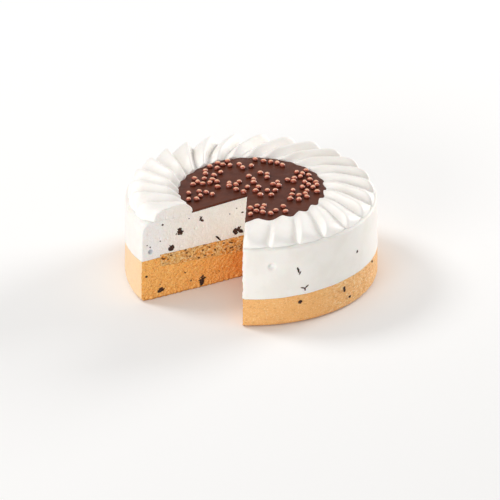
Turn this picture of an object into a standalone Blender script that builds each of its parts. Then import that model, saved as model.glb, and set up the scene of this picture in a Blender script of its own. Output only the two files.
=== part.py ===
"""Round ice cream cake with one slice cut out.

A caramel layer carries a sponge disc, which is let into it and into the vanilla layer above.
A ring of piped cream petals lies on the vanilla layer, round a chocolate glaze with crunchy pearls.
Units are metres, +Z is up, and the origin is the centre of the base.
"""

import math
import random

import bmesh
import bpy

# Body of the cake
CAKE_RADIUS = 0.090
FOOT_ROUNDING = 0.0036
WALL_TAPER = 0.0017
SHOULDER_HEIGHT = 0.0588
SHOULDER_WIDTH = 0.0032
SHOULDER_DROP = 0.0022
ROUNDING_ANGLES = (0.0, 30.0, 60.0, 90.0)
CROWN_HEIGHT = 0.0024
LAYER_GAP = 0.0003
SEGMENTS = 90
VANILLA_TOP_LOOPS = (0.0730, 0.0600, 0.0505, 0.0353, 0.0177)

# Corner beside the cut: the side bulges a little there, and its shoulder is rounder
CORNER_AZIMUTH = 215.0
CORNER_SPREAD = 15.0
CORNER_BULGE = 0.0027
CORNER_SHOULDER_WIDTH = 0.0036
CORNER_SHOULDER_DROP = 0.0044

# Seam between caramel and vanilla at the side: it waves, and it climbs towards the cut
SEAM_HEIGHT = 0.0214
SEAM_WAVE = 0.0007
SEAM_WAVES = 3
SEAM_WAVE_AZIMUTH = -35.0
SEAM_RISE = 0.0088
SEAM_RISE_AZIMUTH = 215.0
SEAM_RISE_POWER = 6.0

# The top has settled towards one side, inside the ring
SETTLE_DROP = 0.0050
SETTLE_AZIMUTH = 190.0
SETTLE_POWER = 1.2
SETTLE_FADE = (0.0550, 0.0800)

# Sponge disc, which climbs and thins towards one side
SPONGE_RADIUS = 0.077
SPONGE_BOTTOM = 0.0194
SPONGE_BOTTOM_RISE = 0.0057
SPONGE_TOP = 0.0319
SPONGE_TOP_RISE = 0.0010
SPONGE_AZIMUTH = 208.0
SPONGE_POWER = 1.2
SPONGE_LOOPS = (0.4, 1.0)

# Missing slice
SLICE_APEX = (-0.0028, -0.0106)
SLICE_AZIMUTHS = (209.5, 268.0)
SLICE_REACH = 0.160
SLICE_MARGIN = 0.020

# Piped cream ring: petals that overlap like roof tiles and lean round the cake
PETALS = 27
PETALS_SHOWN = 22
PETAL_PITCH = 13.46
PETAL_STEPS = 6
PETAL_CREST_INNER = 0.54
PETAL_CREST_OUTER = 0.22
PETAL_CREST_POWER = 1.5
PETAL_FIRST_AZIMUTH = -81.7
PETAL_TWIST = 14.5
PETAL_TWIST_SWING = 4.0
PETAL_TWIST_AZIMUTH = 80.0
PETAL_TWIST_POWER = 1.3
STRAIGHT_AZIMUTH = -95.0
STRAIGHT_SPREAD = 15.0
STRAIGHTENING = 0.9
PETAL_FALL_POWER = 1.35
PETAL_SHARPENING = 1.2
PETAL_SHARP_SHARE = 0.35
RING_INNER = 0.0514
RING_OUTER = 0.0866
INNER_SCALLOP = 0.0013
OUTER_SCALLOP = 0.0011
EDGE_HEIGHT = 0.0011
RING_BOTTOM_SHARES = (0.0, 0.5, 0.9, 1.0)
RING_TOP_SHARES = (0.0, 0.05, 0.13, 0.25, 0.42, 0.60, 0.76, 0.87, 0.95, 1.0)

# Levels of the petals' crests and creases above the base, and how their ends slope
CREST_LEVEL = 0.0683
CREST_LEVEL_SWING = 0.0013
CREST_LEVEL_AZIMUTH = 130.0
CREST_START = 0.35
CREST_RISE_SHARE = 0.30
CREST_FALL_SHARE = 0.26
CREASE_LEVEL = 0.0638
CREASE_LEVEL_FALL = 0.0040
CREASE_RISE_SHARE = 0.20
CREASE_FALL_SHARE = 0.25

# Chocolate glaze and its pearls
GLAZE_THICKNESS = 0.0012
GLAZE_EDGE_ROUNDING = 0.0004
GLAZE_CLEARANCE = 0.0005
GLAZE_LOOPS = (0.35, 0.7, 1.0)
PEARL_RADIUS = 0.00215
PEARL_STRETCH = (1.10, 0.94, 0.88)
PEARL_LIFT = 0.45
PEARL_SPACING = 0.00455
PEARL_SIDES = 6
PEARL_RINGS = 4
PEARL_CUT_CLEARANCE = 0.0030
PEARL_SEED = 11

# Sprinkled clusters on the glaze: centre x and y, half length, half width, azimuth, pearls
PEARL_CLUSTERS = (
    (-0.0230, 0.0410, 0.0090, 0.0050, 60.0, 7),
    (-0.0300, 0.0230, 0.0110, 0.0060, 50.0, 6),
    (-0.0330, 0.0115, 0.0090, 0.0040, 10.0, 6),
    (-0.0070, 0.0360, 0.0080, 0.0040, -20.0, 4),
    (-0.0350, -0.0100, 0.0110, 0.0060, 10.0, 7),
    (-0.0160, 0.0030, 0.0080, 0.0040, 35.0, 4),
    (-0.0040, 0.0060, 0.0120, 0.0060, 80.0, 6),
    (0.0060, -0.0080, 0.0110, 0.0070, -30.0, 7),
    (0.0130, 0.0450, 0.0120, 0.0060, -20.0, 8),
    (0.0105, 0.0230, 0.0080, 0.0040, 70.0, 3),
    (0.0240, 0.0090, 0.0110, 0.0050, 45.0, 6),
    (0.0410, 0.0140, 0.0130, 0.0060, 110.0, 10),
    (0.0350, -0.0110, 0.0130, 0.0080, 60.0, 11),
    (0.0090, -0.0370, 0.0150, 0.0070, 0.0, 11),
)


def reach(x, y, azimuth):
    """How far a point lies towards an azimuth, as a share of the cake's radius."""
    angle = math.radians(azimuth)
    return max(0.0, x * math.cos(angle) + y * math.sin(angle)) / CAKE_RADIUS


def top_height(x, y):
    """Height of the vanilla layer's top: crowned, and settled towards one side."""
    outward = (math.hypot(x, y) - RING_INNER) / (RING_OUTER - RING_INNER)
    crown = CROWN_HEIGHT * (1.0 - min(1.0, max(0.0, outward)))
    faded = (math.hypot(x, y) - SETTLE_FADE[0]) / (SETTLE_FADE[1] - SETTLE_FADE[0])
    settled = SETTLE_DROP * (1.0 - min(1.0, max(0.0, faded)))
    return SHOULDER_HEIGHT + crown - settled * reach(x, y, SETTLE_AZIMUTH) ** SETTLE_POWER


def seam_height(x, y):
    """Height of the caramel's upper edge at the side, the same at every radius."""
    azimuth = math.degrees(math.atan2(y, x))
    wave = SEAM_WAVE * math.cos(SEAM_WAVES * math.radians(azimuth - SEAM_WAVE_AZIMUTH))
    facing = max(0.0, math.cos(math.radians(azimuth - SEAM_RISE_AZIMUTH)))
    return SEAM_HEIGHT + wave + SEAM_RISE * facing ** SEAM_RISE_POWER


def sponge_level(height, rise):
    """Height function of a sponge face that climbs towards the sponge's azimuth."""
    return lambda x, y: height + rise * reach(x, y, SPONGE_AZIMUTH) ** SPONGE_POWER


def beside(azimuth, middle, spread):
    """How close an azimuth in degrees is to a middle one: 1 there, fading to 0 to both sides."""
    return math.exp(-(((azimuth - middle + 180.0) % 360.0 - 180.0) / spread) ** 2)


def side_radius(azimuth, height):
    """Radius of the side wall: it leans in towards the top and bulges at the corner."""
    bulge = CORNER_BULGE * beside(math.degrees(azimuth), CORNER_AZIMUTH, CORNER_SPREAD)
    return CAKE_RADIUS + bulge - WALL_TAPER * height / SHOULDER_HEIGHT


def shoulder_size(azimuth):
    """Width and drop of the rounded shoulder."""
    at_corner = beside(math.degrees(azimuth), CORNER_AZIMUTH, CORNER_SPREAD)
    return SHOULDER_WIDTH + CORNER_SHOULDER_WIDTH * at_corner, SHOULDER_DROP + CORNER_SHOULDER_DROP * at_corner


def rest_height(x, y):
    """Height of the vanilla's surface with its rounded shoulder, which the ring follows."""
    azimuth = math.atan2(y, x)
    width, drop = shoulder_size(azimuth)
    past_flat = math.hypot(x, y) - side_radius(azimuth, SHOULDER_HEIGHT) + width
    over = min(1.0, max(0.0, past_flat / width))
    return top_height(x, y) - drop * (1.0 - math.sqrt(1.0 - over ** 2))


def round_azimuths(count):
    return [math.tau * step / count for step in range(count)]


def loop(radius, height):
    """Closed loop of points at a radius, each at the height that the function gives there."""
    points = []
    for azimuth in round_azimuths(SEGMENTS):
        x = radius * math.cos(azimuth)
        y = radius * math.sin(azimuth)
        points.append((x, y, height(x, y)))
    return points


def side_loop(height, inset=lambda azimuth: 0.0):
    """Loop on the side wall, or inset from it, at the height that the function gives there."""
    points = []
    for azimuth in round_azimuths(SEGMENTS):
        level = height(CAKE_RADIUS * math.cos(azimuth), CAKE_RADIUS * math.sin(azimuth))
        radius = side_radius(azimuth, level) - inset(azimuth)
        points.append((radius * math.cos(azimuth), radius * math.sin(azimuth), level))
    return points


def loops_to_mesh(name, loops, hubs=None):
    """Closed mesh over loops that run up the outside and back inwards.

    With hubs, a lower and an upper centre point close the ends. Without them the last loop
    joins the first one, as round a ring.
    """
    form = bmesh.new()
    rows = [[form.verts.new(point) for point in points] for points in loops]
    pairs = list(zip(rows, rows[1:]))
    if hubs is None:
        pairs.append((rows[-1], rows[0]))
    for lower, upper in pairs:
        for i, vert in enumerate(lower):
            j = (i + 1) % len(lower)
            form.faces.new((vert, lower[j], upper[j], upper[i]))
    if hubs is not None:
        bottom = form.verts.new(hubs[0])
        top = form.verts.new(hubs[1])
        for i in range(len(rows[0])):
            j = (i + 1) % len(rows[0])
            form.faces.new((bottom, rows[0][j], rows[0][i]))
            form.faces.new((top, rows[-1][i], rows[-1][j]))
    mesh = bpy.data.meshes.new(name)
    form.to_mesh(mesh)
    form.free()
    smooth_with_sharp_edges(mesh)
    return mesh


def smooth_with_sharp_edges(mesh):
    mesh.shade_smooth()
    mesh.set_sharp_from_angle(angle=math.radians(35))


def material(name, color, roughness):
    surface = bpy.data.materials.new(name)
    surface.use_nodes = True
    shader = surface.node_tree.nodes["Principled BSDF"]
    shader.inputs["Base Color"].default_value = (*color, 1.0)
    shader.inputs["Roughness"].default_value = roughness
    shader.inputs["Metallic"].default_value = 0.0
    return surface


def add_piece(name, mesh, surface, parent):
    piece = bpy.data.objects.new(name, mesh)
    mesh.materials.append(surface)
    piece.parent = parent
    bpy.context.scene.collection.objects.link(piece)
    return piece


def slice_cutter(parent):
    """Wedge-shaped prism that takes the missing slice out of every piece."""
    corners = [SLICE_APEX]
    for azimuth in SLICE_AZIMUTHS:
        angle = math.radians(azimuth)
        corners.append((SLICE_APEX[0] + SLICE_REACH * math.cos(angle),
                        SLICE_APEX[1] + SLICE_REACH * math.sin(angle)))
    form = bmesh.new()
    floor = [form.verts.new((x, y, -SLICE_MARGIN)) for x, y in corners]
    base = form.faces.new(list(reversed(floor)))
    lifted = bmesh.ops.extrude_face_region(form, geom=[base])["geom"]
    height = CREST_LEVEL + CREST_LEVEL_SWING + 2 * SLICE_MARGIN
    raised = [item for item in lifted if isinstance(item, bmesh.types.BMVert)]
    bmesh.ops.translate(form, vec=(0, 0, height), verts=raised)
    bmesh.ops.recalc_face_normals(form, faces=form.faces)
    mesh = bpy.data.meshes.new("slice_cutter")
    form.to_mesh(mesh)
    form.free()
    cutter = bpy.data.objects.new("slice_cutter", mesh)
    cutter.parent = parent
    cutter.hide_render = True
    cutter.display_type = 'WIRE'
    bpy.context.scene.collection.objects.link(cutter)
    return cutter


def cut_slice(piece, cutter):
    cut = piece.modifiers.new("missing_slice", 'BOOLEAN')
    cut.operation = 'DIFFERENCE'
    cut.object = cutter


def caramel_mesh():
    """Lower layer, with the sponge's seat sunk into its top."""
    seat = sponge_level(SPONGE_BOTTOM - LAYER_GAP, SPONGE_BOTTOM_RISE)
    seat_radius = SPONGE_RADIUS + LAYER_GAP
    loops = []
    for angle in ROUNDING_ANGLES:
        inset = FOOT_ROUNDING * (1 - math.sin(math.radians(angle)))
        lift = FOOT_ROUNDING * (1 - math.cos(math.radians(angle)))
        loops.append(side_loop(lambda x, y: lift, lambda azimuth: inset))
    loops.append(side_loop(seam_height))
    loops.append(loop(seat_radius, seam_height))
    loops += [loop(seat_radius * share, seat) for share in reversed(SPONGE_LOOPS)]
    return loops_to_mesh("caramel_layer", loops, hubs=((0, 0, 0), (0, 0, seat(0, 0))))


def sponge_mesh():
    bottom = sponge_level(SPONGE_BOTTOM, SPONGE_BOTTOM_RISE)
    top = sponge_level(SPONGE_TOP, SPONGE_TOP_RISE)
    loops = [loop(SPONGE_RADIUS * share, bottom) for share in SPONGE_LOOPS]
    loops += [loop(SPONGE_RADIUS * share, top) for share in reversed(SPONGE_LOOPS)]
    return loops_to_mesh("sponge_disc", loops, hubs=((0, 0, bottom(0, 0)), (0, 0, top(0, 0))))


def vanilla_mesh():
    """Upper layer: it covers the sponge, and its shoulder is rounded."""
    ceiling = sponge_level(SPONGE_TOP + LAYER_GAP, SPONGE_TOP_RISE)
    seat_radius = SPONGE_RADIUS + LAYER_GAP

    def seam(x, y):
        return seam_height(x, y) + LAYER_GAP

    loops = [loop(seat_radius * share, ceiling) for share in SPONGE_LOOPS]
    loops.append(loop(seat_radius, seam))
    loops.append(side_loop(seam))
    for angle in ROUNDING_ANGLES:
        inward = 1 - math.cos(math.radians(angle))
        down = 1 - math.sin(math.radians(angle))
        loops.append(side_loop(lambda x, y: top_height(x, y) - down * shoulder_size(math.atan2(y, x))[1],
                               lambda azimuth: inward * shoulder_size(azimuth)[0]))
    for radius in VANILLA_TOP_LOOPS:
        loops.append(loop(radius, top_height))
    return loops_to_mesh("vanilla_layer", loops, hubs=((0, 0, ceiling(0, 0)), (0, 0, top_height(0, 0))))


def swung(azimuth, middle, swing, peak):
    """Value that swings once round the cake about its middle, highest at the peak azimuth."""
    return middle + swing * math.cos(math.radians(azimuth - peak))


def rising(share, span):
    """Eases from 0 at the inner edge to 1 once a share of the ring's width is reached."""
    return math.sin(math.pi / 2 * min(1.0, share / span))


def rounded_end(share, span):
    """Stays at 1, then rounds down to 0 over the last share of the ring's width."""
    return math.sqrt(1.0 - (1.0 - min(1.0, (1.0 - share) / span)) ** 2)


def crease_azimuth(turns):
    """Outer azimuth at a number of petals; those inside the missing slice make up the round."""
    shown = min(turns, PETALS_SHOWN)
    hidden_pitch = (360.0 - PETAL_PITCH * PETALS_SHOWN) / (PETALS - PETALS_SHOWN)
    return PETAL_FIRST_AZIMUTH + PETAL_PITCH * shown + hidden_pitch * (turns - shown)


def crest_phase(share):
    """Petal phase of the crest: it wanders across the petal from its inner to its outer end."""
    return PETAL_CREST_OUTER + (PETAL_CREST_INNER - PETAL_CREST_OUTER) * (1.0 - share) ** PETAL_CREST_POWER


def phase_at(step, share):
    """Petal phase of a grid step, with one step exactly on the crest."""
    crest = crest_phase(share)
    flank_steps = PETAL_STEPS // 3
    if step <= flank_steps:
        return crest * step / flank_steps
    return crest + (1.0 - crest) * (step - flank_steps) / (PETAL_STEPS - flank_steps)


def ridge(phase, share):
    """Cross-section of a petal, 0 at its creases and 1 at its crest; it narrows at the inner tip."""
    crest = crest_phase(share)
    if phase < crest:
        height = math.sin(math.pi / 2 * phase / crest)
    else:
        height = 1.0 - ((phase - crest) / (1.0 - crest)) ** PETAL_FALL_POWER
    return height ** (1.0 + PETAL_SHARPENING * max(0.0, 1.0 - share / PETAL_SHARP_SHARE))


def petal_point(step, share):
    """Place on the ring at a step round it and a share of its width.

    Returns x and y, the azimuth of the petal's outer end, and the height on the petal's ridge.
    """
    phase = phase_at(step % PETAL_STEPS, share)
    outer = crease_azimuth(step // PETAL_STEPS + phase)
    twist = swung(outer, PETAL_TWIST, PETAL_TWIST_SWING, PETAL_TWIST_AZIMUTH)
    twist *= 1.0 - STRAIGHTENING * beside(outer, STRAIGHT_AZIMUTH, STRAIGHT_SPREAD)
    azimuth = math.radians(outer + twist * (1.0 - share) ** PETAL_TWIST_POWER)
    height = ridge(phase, share)
    inner_radius = RING_INNER + INNER_SCALLOP * (0.5 - height)
    outer_radius = RING_OUTER - OUTER_SCALLOP * (1.0 - height) ** 2
    radius = inner_radius + (outer_radius - inner_radius) * share
    return radius * math.cos(azimuth), radius * math.sin(azimuth), outer, height


def cream_point(step, share, on_top):
    """Point on the ring's underside or, with on_top, on its petals."""
    x, y, outer, height = petal_point(step, share)
    base = rest_height(x, y) + LAYER_GAP
    if not on_top:
        return (x, y, base)
    floor = base + EDGE_HEIGHT
    rise = CREST_START + (1.0 - CREST_START) * rising(share, CREST_RISE_SHARE)
    crest_level = swung(outer, CREST_LEVEL, CREST_LEVEL_SWING, CREST_LEVEL_AZIMUTH)
    crest = (crest_level - floor) * rise * rounded_end(share, CREST_FALL_SHARE)
    crease_level = CREASE_LEVEL - CREASE_LEVEL_FALL * share
    crease = (crease_level - floor) * rising(share, CREASE_RISE_SHARE) * rounded_end(share, CREASE_FALL_SHARE)
    return (x, y, floor + crease + (crest - crease) * height)


def cream_mesh():
    """Ring of petals: its grid lines follow each petal from the glaze out to the shoulder."""
    steps = range(PETALS * PETAL_STEPS)
    loops = []
    for share in RING_BOTTOM_SHARES:
        loops.append([cream_point(step, share, False) for step in steps])
    for share in reversed(RING_TOP_SHARES):
        loops.append([cream_point(step, share, True) for step in steps])
    return loops_to_mesh("cream_ring", loops)


def glaze_loop(share, lift, inset):
    """Loop of the glaze, at a share of the way out to the petals' inner ends."""
    points = []
    for step in range(0, PETALS * PETAL_STEPS, 2):
        x, y, _, _ = petal_point(step, 0.0)
        scale = share * (1.0 - (GLAZE_CLEARANCE + inset) / math.hypot(x, y))
        x *= scale
        y *= scale
        points.append((x, y, top_height(x, y) + LAYER_GAP + lift))
    return points


def glaze_mesh():
    rounding = GLAZE_EDGE_ROUNDING
    loops = [glaze_loop(share, 0.0, 0.0) for share in GLAZE_LOOPS]
    loops.append(glaze_loop(1.0, GLAZE_THICKNESS - rounding, 0.0))
    loops += [glaze_loop(share, GLAZE_THICKNESS, rounding) for share in reversed(GLAZE_LOOPS)]
    base = top_height(0, 0) + LAYER_GAP
    return loops_to_mesh("chocolate_glaze", loops, hubs=((0, 0, base), (0, 0, base + GLAZE_THICKNESS)))


def clear_of_slice(x, y):
    """Whether a pearl at a point keeps its distance from both cut faces."""
    dx = x - SLICE_APEX[0]
    dy = y - SLICE_APEX[1]
    left, right = (math.radians(azimuth) for azimuth in SLICE_AZIMUTHS)
    past_left = dx * math.sin(left) - dy * math.cos(left)
    past_right = -dx * math.sin(right) + dy * math.cos(right)
    return past_left > PEARL_CUT_CLEARANCE or past_right > PEARL_CUT_CLEARANCE


def pearl_places():
    """Seeded places and turns of the pearls: scattered over each cluster, never one on another."""
    draw = random.Random(PEARL_SEED)
    limit = RING_INNER - INNER_SCALLOP - GLAZE_CLEARANCE - PEARL_RADIUS * PEARL_STRETCH[0]
    places = []
    for cx, cy, long_half, short_half, azimuth, count in PEARL_CLUSTERS:
        turn = math.radians(azimuth)
        wanted = len(places) + count
        for _ in range(400):
            if len(places) == wanted:
                break
            along = long_half * draw.uniform(-1, 1)
            across = short_half * draw.uniform(-1, 1)
            x = cx + along * math.cos(turn) - across * math.sin(turn)
            y = cy + along * math.sin(turn) + across * math.cos(turn)
            if math.hypot(x, y) > limit or not clear_of_slice(x, y):
                continue
            if all(math.hypot(x - px, y - py) > PEARL_SPACING for px, py, _ in places):
                places.append((x, y, draw.uniform(0, math.pi)))
    return places


def add_pearls(glaze):
    """Fuse the pearls to the glaze, each sunk a little way into it."""
    pearls = bpy.data.collections.new("pearls")
    bpy.context.scene.collection.children.link(pearls)
    lift = LAYER_GAP + GLAZE_THICKNESS + PEARL_LIFT * PEARL_RADIUS
    for x, y, turn in pearl_places():
        form = bmesh.new()
        bmesh.ops.create_uvsphere(form, u_segments=PEARL_SIDES, v_segments=PEARL_RINGS, radius=PEARL_RADIUS)
        mesh = bpy.data.meshes.new("pearl")
        form.to_mesh(mesh)
        form.free()
        pearl = bpy.data.objects.new("pearl", mesh)
        pearl.location = (x, y, top_height(x, y) + lift)
        pearl.rotation_euler = (0, 0, turn)
        pearl.scale = PEARL_STRETCH
        pearls.objects.link(pearl)
    join = glaze.modifiers.new("pearls", 'BOOLEAN')
    join.operation = 'UNION'
    join.operand_type = 'COLLECTION'
    join.collection = pearls
    bpy.context.view_layer.update()
    fused = bpy.data.meshes.new_from_object(glaze.evaluated_get(bpy.context.evaluated_depsgraph_get()))
    smooth_with_sharp_edges(fused)
    glaze.modifiers.clear()
    glaze.data = fused
    for pearl in list(pearls.objects):
        bpy.data.objects.remove(pearl)
    bpy.data.collections.remove(pearls)


def build_cake():
    for leftover in list(bpy.data.objects):
        bpy.data.objects.remove(leftover)
    cake = bpy.data.objects.new("cake", None)
    bpy.context.scene.collection.objects.link(cake)
    cutter = slice_cutter(cake)
    pieces = [
        add_piece("caramel_layer", caramel_mesh(), material("caramel", (0.78, 0.42, 0.13), 0.60), cake),
        add_piece("sponge_disc", sponge_mesh(), material("sponge", (0.66, 0.38, 0.14), 0.90), cake),
        add_piece("vanilla_layer", vanilla_mesh(), material("vanilla", (0.86, 0.82, 0.75), 0.55), cake),
        add_piece("cream_ring", cream_mesh(), material("cream", (0.92, 0.90, 0.86), 0.45), cake),
        add_piece("chocolate_glaze", glaze_mesh(), material("chocolate", (0.09, 0.035, 0.022), 0.30), cake),
    ]
    add_pearls(pieces[-1])
    for piece in pieces:
        cut_slice(piece, cutter)


build_cake()
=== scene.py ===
import math
import random

import bmesh
import bpy
import numpy as np
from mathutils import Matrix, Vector, kdtree, noise
from mathutils.geometry import delaunay_2d_cdt


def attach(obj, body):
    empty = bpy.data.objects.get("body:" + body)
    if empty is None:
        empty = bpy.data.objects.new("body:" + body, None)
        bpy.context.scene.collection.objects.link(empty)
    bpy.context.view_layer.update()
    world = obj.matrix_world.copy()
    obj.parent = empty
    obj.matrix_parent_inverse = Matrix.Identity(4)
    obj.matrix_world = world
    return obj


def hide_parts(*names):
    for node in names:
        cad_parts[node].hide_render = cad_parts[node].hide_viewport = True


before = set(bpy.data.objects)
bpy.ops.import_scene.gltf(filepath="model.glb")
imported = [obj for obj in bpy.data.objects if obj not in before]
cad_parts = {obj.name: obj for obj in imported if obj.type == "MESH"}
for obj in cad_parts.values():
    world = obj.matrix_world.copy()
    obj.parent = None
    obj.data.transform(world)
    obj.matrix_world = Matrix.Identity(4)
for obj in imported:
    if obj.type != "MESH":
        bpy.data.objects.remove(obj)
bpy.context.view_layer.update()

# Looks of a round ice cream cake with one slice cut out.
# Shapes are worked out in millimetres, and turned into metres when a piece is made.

# Body of the cake
CAKE_RADIUS = 90.0
FOOT_ROUNDING = 3.6
WALL_TAPER = 1.7
SHOULDER_HEIGHT = 58.8
SHOULDER_SIZE = (3.2, 2.2)
CORNER_AZIMUTH = 215.0
CORNER_SPREAD = 15.0
CORNER_BULGE = 2.7
CORNER_SHOULDER_SIZE = (3.6, 4.4)
CROWN_HEIGHT = 2.4
SETTLE_DROP = 5.0
SETTLE_AZIMUTH = 190.0
SETTLE_POWER = 1.2
SETTLE_FADE = (55.0, 80.0)
SEAM_HEIGHT = 21.4
SEAM_WAVE = 0.7
SEAM_WAVE_AZIMUTH = -35.0
SEAM_RISE = 8.8
SEAM_RISE_AZIMUTH = 215.0
SEAM_RISE_POWER = 6.0
SPONGE_RADIUS = 77.0
SPONGE_BOTTOM = (19.4, 5.7)
SPONGE_TOP = (31.9, 1.0)
SPONGE_AZIMUTH = 208.0
SPONGE_POWER = 1.2
SCRAPED_AZIMUTH = -31.0
SCRAPED_SPREAD = 15.0
CARAMEL_SLANT = 0.5

# Hollow in the left cut, by distance and level, and one in the side, by azimuth and level
CUT_PIT = (76.4, 36.8)
SIDE_HOLLOW = (-80.9, 45.1)

# Radius and depth of each hollow
CUT_PIT_SIZE = (2.1, 1.3)
SIDE_HOLLOW_SIZE = (3.1, 2.2)

# Missing slice: its tip, and the directions of its two cut faces
APEX = np.array((-2.8, -10.6))
LEFT_CUT = 209.5
RIGHT_CUT = -92.0

# Cream petals
PETALS = 27
PETALS_SHOWN = 22
PETAL_PITCH = 13.46
PETAL_FIRST_AZIMUTH = -81.7
PETAL_CREST = (0.22, 0.54)
PETAL_CREST_POWER = 1.5
PETAL_TWIST = (14.5, 4.0)
PETAL_TWIST_AZIMUTH = 80.0
PETAL_TWIST_POWER = 1.3
STRAIGHT_AZIMUTH = -95.0
STRAIGHT_SPREAD = 15.0
STRAIGHTENING = 0.9
PETAL_FALL_POWER = 1.35
PETAL_SHARPENING = 1.2
PETAL_SHARP_SHARE = 0.35
RING_INNER = 51.4
RING_OUTER = 86.6
INNER_SCALLOP = 1.3
OUTER_SCALLOP = 1.1
EDGE_HEIGHT = 1.1
CREST_LEVEL = (68.3, 1.3)
CREST_LEVEL_AZIMUTH = 130.0
CREST_START = 0.35
CREST_RISE_SHARE = 0.30
CREST_FALL_SHARE = 0.26
CREASE_LEVEL = (63.8, 4.0)
CREASE_RISE_SHARE = 0.20
CREASE_FALL_SHARE = 0.25
PETAL_COLUMNS = 21
PETAL_ROWS = 60
PETAL_UNEVENNESS = 0.6
PETAL_SEED = 4

# Towards the front the steep flanks of the petals are narrower
NARROW_AZIMUTH = -78.0
NARROW_SPREAD = 28.0
NARROW_FLANK = 0.08

# The outer edge of the ring thins out over its last part
EDGE_THINNING = 0.75
EDGE_THIN_SHARE = 0.1

# The last petal before the left cut is full, and its outer end is drawn in
FULL_AZIMUTH = 217.0
FULL_SPREAD = 5.5
FULLNESS = 0.9
FULL_DRAWN_IN = 5.5

# Glaze and pearls
GLAZE_THICKNESS = 1.5
GLAZE_UNDER_PETALS = 0.6
GLAZE_CORNER_CLEARANCE = 0.6
GLAZE_SPACING = 0.9
PEARL_RADIUS = 2.15
PEARL_STRETCH = (1.10, 0.94, 0.88)
PEARL_LIFT = 0.45
PEARL_SPACING = 4.55
PEARL_CUT_CLEARANCE = 3.0
PEARL_EDGE_CLEARANCE = 0.5
PEARL_SEED = 11
PEARL_SIZE_SEED = 23
PEARL_TRIES = 400

# Profile of the glaze's edge: how far in, and how high above the vanilla
GLAZE_EDGE = ((0.0, 0.0), (0.0, 0.5), (0.0, 1.0), (0.10, 1.3), (0.32, 1.46), (0.62, GLAZE_THICKNESS))

# Sprinkled clusters on the glaze: centre x and y, half length, half width, azimuth, pearls
PEARL_CLUSTERS = (
    (-23.0, 41.0, 9.0, 5.0, 60, 7),
    (-30.0, 23.0, 11.0, 6.0, 50, 6),
    (-33.0, 11.5, 9.0, 4.0, 10, 6),
    (-7.0, 36.0, 8.0, 4.0, -20, 4),
    (-35.0, -10.0, 11.0, 6.0, 10, 7),
    (-16.0, 3.0, 8.0, 4.0, 35, 4),
    (-4.0, 6.0, 12.0, 6.0, 80, 6),
    (6.0, -8.0, 11.0, 7.0, -30, 7),
    (13.0, 45.0, 12.0, 6.0, -20, 8),
    (10.5, 23.0, 8.0, 4.0, 70, 3),
    (24.0, 9.0, 11.0, 5.0, 45, 6),
    (41.0, 14.0, 13.0, 6.0, 110, 10),
    (35.0, -11.0, 13.0, 8.0, 60, 11),
    (9.0, -37.0, 15.0, 7.0, 0, 11),
)

# Fineness of the surfaces: millimetres between points, points in a row round the side, and balls
CUT_SPACING = 0.42
SPONGE_SPACING = 0.34
HIDDEN_SPACING = 5.0
SIDE_COLUMNS = 700
BALL_SUBDIVISIONS = 4

# Half the width over which a surface steps at the sponge's edge
SLIT = 0.02

# Kinds of face, and each cut face with its kind and the end of a row that lies on it
HIDDEN, SIDE, LEFT, RIGHT = range(4)
CUT_FACES = ((LEFT_CUT, LEFT, -1), (RIGHT_CUT, RIGHT, 0))

# How much larger the chocolate bits are made than listed, the long ones on the left cut more so
CHIP_GROWTH = 1.45
CUT_CHIP_GROWTH = 1.75
LONG_CHIP = 1.5
CHIP_SEED = 8

# Chocolate bits that show: face, place along it, level, length, width, lean in degrees
CHIPS = (
    (LEFT, 53.8, 48.6, 1.7, 1.4, 20),
    (LEFT, 53.2, 46.2, 2.6, 1.9, -15),
    (LEFT, 60.0, 35.9, 2.8, 2.2, 40),
    (LEFT, 23.2, 34.6, 2.9, 0.8, -50),
    (LEFT, 9.6, 37.4, 2.6, 1.5, 25),
    (LEFT, 7.2, 38.2, 2.6, 1.3, 40),
    (LEFT, 5.6, 36.0, 2.4, 1.5, -30),
    (LEFT, 8.9, 35.0, 1.8, 1.2, 10),
    (LEFT, 3.9, 50.0, 1.2, 0.9, 0),
    (LEFT, 66.7, 55.2, 1.1, 1.0, 0),
    (LEFT, 36.9, 52.9, 1.8, 0.8, 50),
    (LEFT, 36.0, 51.4, 1.6, 0.9, -30),
    (LEFT, 68.6, 5.4, 3.0, 2.0, 30),
    (LEFT, 70.2, 4.6, 1.8, 1.2, -20),
    (LEFT, 36.2, 6.2, 3.0, 2.2, 20),
    (LEFT, 36.9, 3.4, 2.8, 1.9, 60),
    (LEFT, 79.9, 18.7, 1.3, 1.1, 0),
    (SIDE, -68.9, 40.4, 2.9, 1.0, 112),
    (SIDE, -68.1, 38.0, 1.8, 0.5, 60),
    (SIDE, -66.8, 26.4, 2.2, 0.6, 160),
    (SIDE, -64.9, 26.9, 2.2, 0.6, 35),
    (SIDE, -65.8, 25.1, 1.4, 0.7, 95),
    (SIDE, -34.8, 38.5, 1.4, 1.1, 70),
    (SIDE, -68.1, 16.2, 1.9, 1.6, 0),
    (SIDE, -44.3, 16.2, 1.6, 1.2, 60),
    (SIDE, -44.0, 14.4, 1.4, 1.1, 80),
    (SIDE, -40.6, 7.5, 1.4, 1.1, 0),
    (SIDE, -19.1, 20.0, 1.2, 1.0, 0),
)

# Floor and surrounding light, in metres
FLOOR_SIZE = 6.0
FLOOR_LEVEL = -0.0002
SKY_COLOR = (1.0, 0.995, 0.985, 1.0)
SKY_STRENGTH = 0.50

# Lights: name, azimuth, elevation, size in metres and power in watts
LIGHT_DISTANCE = 2.0
LIGHTS = (
    ("key", 155.0, 48.0, 0.7, 14.0),
    ("front_left", -120.0, 14.0, 1.0, 16.0),
    ("back_right", 36.0, 18.0, 1.0, 26.0),
)

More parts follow.
